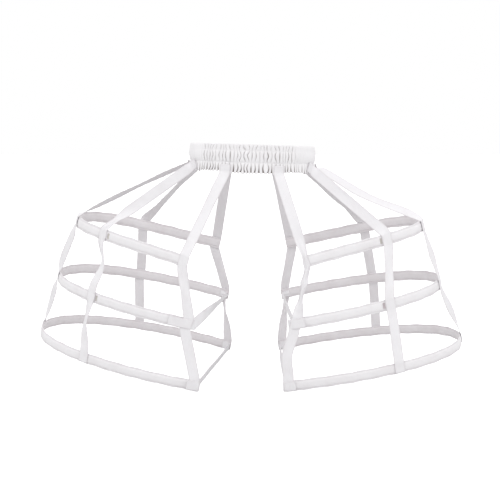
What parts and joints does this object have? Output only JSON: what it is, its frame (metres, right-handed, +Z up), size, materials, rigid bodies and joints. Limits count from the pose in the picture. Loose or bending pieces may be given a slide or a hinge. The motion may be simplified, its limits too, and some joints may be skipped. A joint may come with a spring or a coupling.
{
  "type": "crinoline cage",
  "caption": "Side-hoop crinoline cage: a gathered elastic waistband carrying two open cages of boned cloth hoops hung on tapes.",
  "frame": {"origin": "centre of the waist opening, at half the height of the waistband", "axes": "+Z up, out of the waist opening; -Y to the wearer's front; +X to the wearer's left"},
  "size_m": [0.9391, 0.387, 0.4939],
  "materials": {
    "band_cloth": "fine white cotton, gathered",
    "casing_cloth": "white cotton casing, topstitched at both edges",
    "tape": "white cotton tape, folded and stitched",
    "elastic": "knitted white elastic",
    "boning": "flat white plastic boning"
  },
  "bodies": {
    "root": {"left_back_inner_tape": "tape", "left_back_outer_tape": "tape", "left_bottom_bone": "boning", "left_bottom_casing": "casing_cloth", "left_bottom_tie": "tape", "left_front_inner_tape": "tape", "left_front_outer_tape": "tape", "left_middle_bone": "boning", "left_middle_casing": "casing_cloth", "left_middle_tie": "tape", "left_side_tape": "tape", "left_top_bone": "boning", "left_top_casing": "casing_cloth", "right_back_inner_tape": "tape", "right_back_outer_tape": "tape", "right_bottom_bone": "boning", "right_bottom_casing": "casing_cloth", "right_bottom_tie": "tape", "right_front_inner_tape": "tape", "right_front_outer_tape": "tape", "right_middle_bone": "boning", "right_middle_casing": "casing_cloth", "right_middle_tie": "tape", "right_side_tape": "tape", "right_top_bone": "boning", "right_top_casing": "casing_cloth", "waist_elastic": "elastic", "waistband": "band_cloth"}
  },
  "joints": []
}
